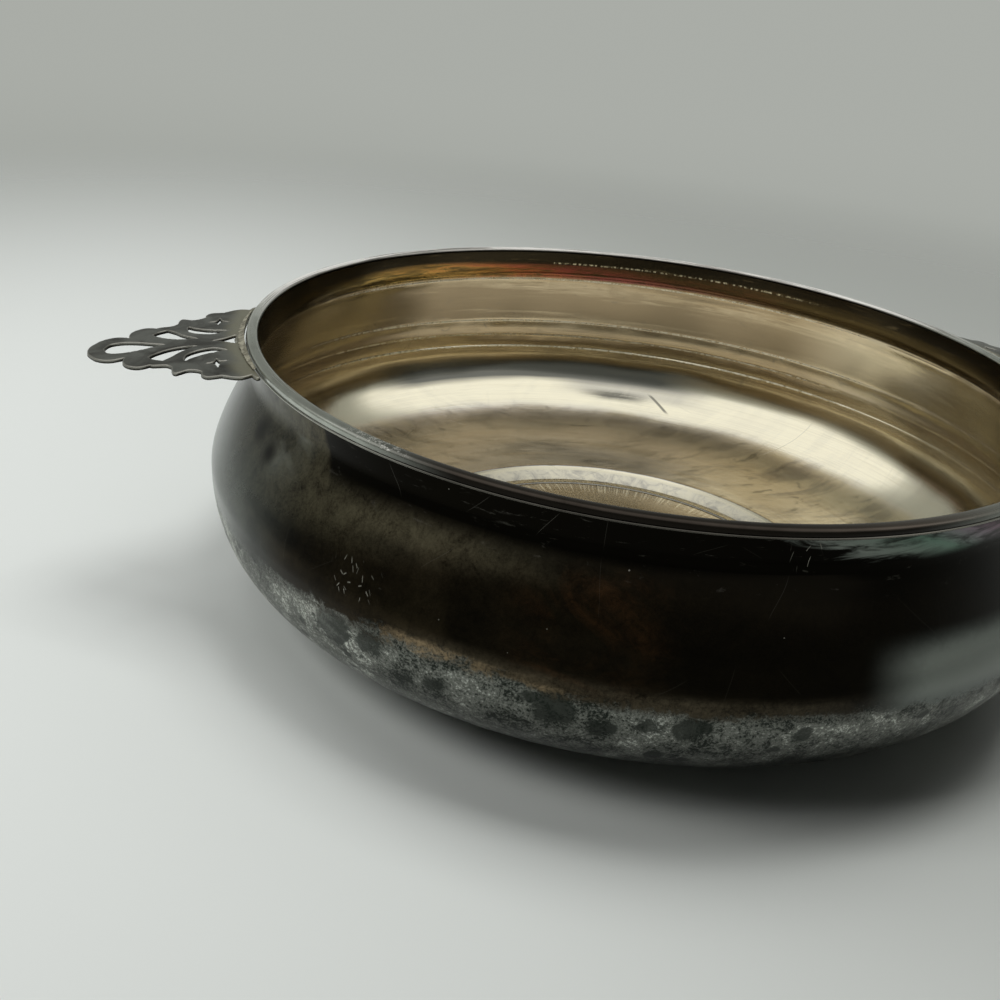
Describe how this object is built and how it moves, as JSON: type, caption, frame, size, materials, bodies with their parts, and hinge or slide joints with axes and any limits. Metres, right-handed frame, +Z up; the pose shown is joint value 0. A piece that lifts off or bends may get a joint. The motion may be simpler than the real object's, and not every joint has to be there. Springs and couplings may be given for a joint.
{
  "type": "serving bowl",
  "caption": "Round low serving bowl with a short collar, a full belly, a rounded rim moulding and flat pierced side handles, in tarnished silver plate.",
  "frame": {"origin": "on the table, under the middle of the bowl", "axes": "+X and -X along the handles, +Z up out of the mouth"},
  "size_m": [0.3116, 0.2484, 0.0746],
  "materials": {
    "shell_plate": "spun sheet, silver plate with heavy dark brown and black tarnish outside, warm gold to silver inside, satin",
    "moulding_plate": "drawn strip, silver plate with grey-brown tarnish, worn paler on the crest",
    "handle_plate": "cast and pierced plate, dull dark grey tarnish with paler worn edges",
    "solder": "dull tan-grey solder fillet"
  },
  "bodies": {
    "root": {"bowl_body": "shell_plate", "rim_moulding": "moulding_plate", "left_handle": "handle_plate", "right_handle": "handle_plate", "left_handle_solder": "solder", "right_handle_solder": "solder"}
  },
  "joints": []
}
